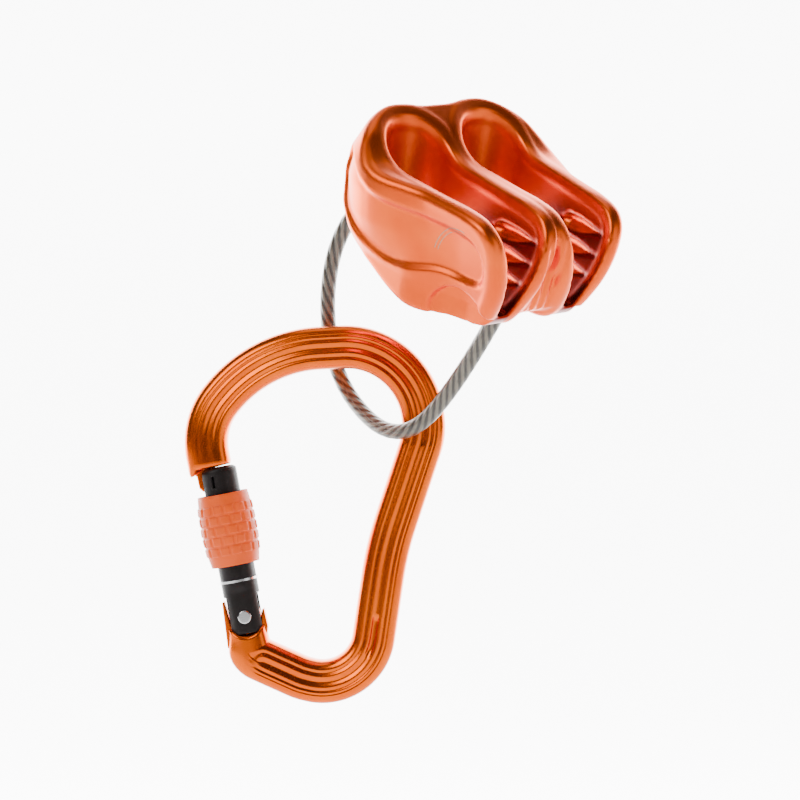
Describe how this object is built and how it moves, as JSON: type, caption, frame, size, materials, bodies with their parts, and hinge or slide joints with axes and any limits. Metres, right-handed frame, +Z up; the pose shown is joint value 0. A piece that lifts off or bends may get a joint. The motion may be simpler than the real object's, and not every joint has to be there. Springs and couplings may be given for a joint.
{
  "type": "belay device",
  "caption": "Tubular rope brake with parallel rope slots, toothed vee ends and a keeper cable loop, carried on a pear-shaped screw-gate carabiner.",
  "frame": {"origin": "on the rope face of the device, midway between its rope slots", "axes": "+Z up as the set hangs, +Y away from the front of the carabiner, +X to the right seen from its front"},
  "size_m": [0.1192, 0.0913, 0.1674],
  "materials": {
    "device_anodised": "hot-forged, blasted and anodised red-orange",
    "carabiner_anodised": "hot-forged, polished and anodised golden orange",
    "gate_black": "turned and anodised black",
    "sleeve_orange": "satin",
    "polished_steel": "polished stainless steel",
    "cable_steel": "drawn stainless wire",
    "cable_jacket": "translucent grey extruded jacket"
  },
  "bodies": {
    "device": {"device_body": "device_anodised", "ferrule_left": "polished_steel", "ferrule_right": "polished_steel"},
    "keeper": {"keeper_cable_core": "cable_steel", "keeper_cable_sheath": "cable_jacket"},
    "carabiner": {"carabiner_frame": "carabiner_anodised"},
    "gate_body": {"gate": "gate_black", "gate_rivet": "polished_steel", "gate_spring": "polished_steel", "sleeve_stop_ring": "polished_steel"},
    "plunger": {"gate_plunger": "polished_steel"},
    "sleeve_carrier": {"sleeve_thread_insert": "gate_black"},
    "sleeve": {"locking_sleeve": "sleeve_orange"}
  },
  "joints": [
    {"name": "keeper_swing", "type": "hinge", "parent": "device", "child": "keeper", "pos_m": [-0.01925, 0.02748, 0.00055], "axis": [0.4797, -0.5046, -0.7179], "range_deg": [-18, 18], "stiffness_Nm_per_rad": 0.3},
    {"name": "carabiner_swing", "type": "hinge", "parent": "keeper", "child": "carabiner", "pos_m": [-0.0453, 0.0435, -0.0454], "axis": [0, 1, 0], "range_deg": [-20, 2]},
    {"name": "gate_hinge", "type": "hinge", "parent": "carabiner", "child": "gate_body", "pos_m": [-0.06675, 0.0435, -0.1194], "axis": [0, 1, 0], "range_deg": [0, 24], "stiffness_Nm_per_rad": 0.08, "springref_deg": -20.05, "deforming": ["gate_spring"]},
    {"name": "plunger_slide", "type": "slide", "parent": "gate_body", "child": "plunger", "axis": [-0.1874, 0, 0.9823], "range_m": [0, 0.0012]},
    {"name": "sleeve_travel", "type": "slide", "parent": "gate_body", "child": "sleeve_carrier", "axis": [-0.1874, 0, 0.9823], "range_m": [-0.004, 0.0055]},
    {"name": "sleeve_turn", "type": "hinge", "parent": "sleeve_carrier", "child": "sleeve", "pos_m": [-0.07143, 0.0435, -0.09484], "axis": [-0.1874, 0, 0.9823], "range_deg": [-361, 496]}
  ],
  "couplings": [
    {"joint": "plunger_slide", "follows": "gate_hinge", "m_per_rad": 0.0028},
    {"joint": "sleeve_turn", "follows": "sleeve_travel", "rad_per_m": 1570.8}
  ]
}
